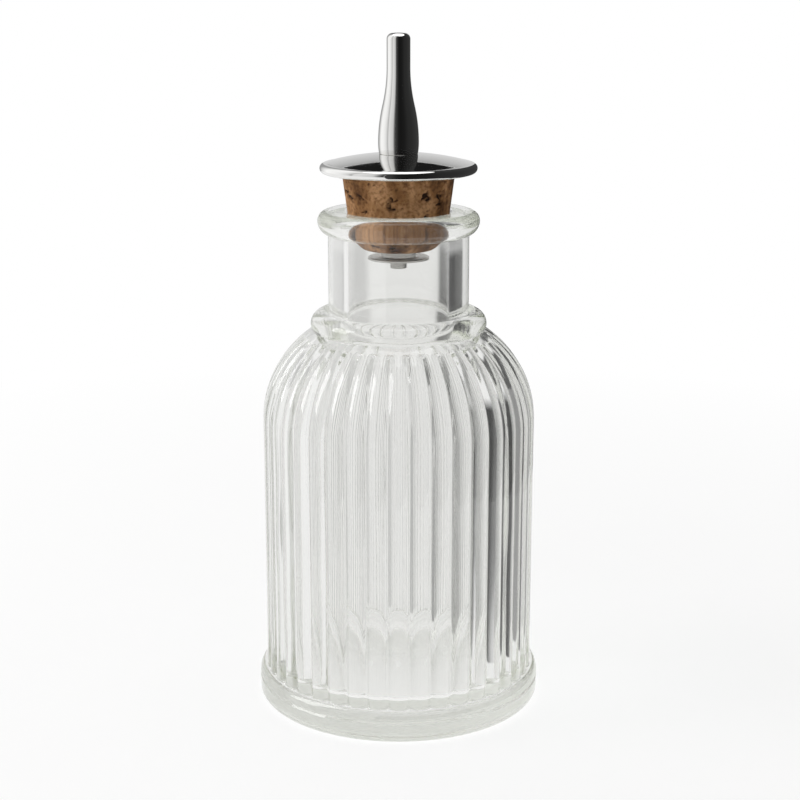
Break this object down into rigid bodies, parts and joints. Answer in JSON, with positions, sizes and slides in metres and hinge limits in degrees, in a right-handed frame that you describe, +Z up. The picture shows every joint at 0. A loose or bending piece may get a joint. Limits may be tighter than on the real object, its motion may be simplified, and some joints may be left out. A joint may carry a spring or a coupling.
{
  "type": "bitters bottle",
  "caption": "Round ribbed clear-glass bitters bottle with a dasher top: a tapered cork that carries a domed chrome disc and a slim pouring spout, and pulls out of the mouth.",
  "frame": {"origin": "middle of the foot, on the surface that the bottle stands on", "axes": "+Z up along the bottle's axis, towards the spout; a rib crest faces each of +X, -X, +Y and -Y"},
  "size_m": [0.0676, 0.0676, 0.1575],
  "materials": {
    "glass": "clear pressed glass, faintly grey-green in the thick parts",
    "cork": "natural cork, warm brown with dark pits",
    "chrome": "bright polished plate",
    "steel": "turned, plain"
  },
  "bodies": {
    "bottle": {"glass_bottle": "glass"},
    "dasher_top": {"cork_stopper": "cork", "drip_disc": "chrome", "pour_spout": "chrome", "stem_tube": "steel", "clamp_nut": "steel"}
  },
  "joints": [
    {"name": "top_pull", "type": "slide", "parent": "bottle", "child": "dasher_top", "axis": [0, 0, 1], "range_m": [0, 0.05]}
  ]
}
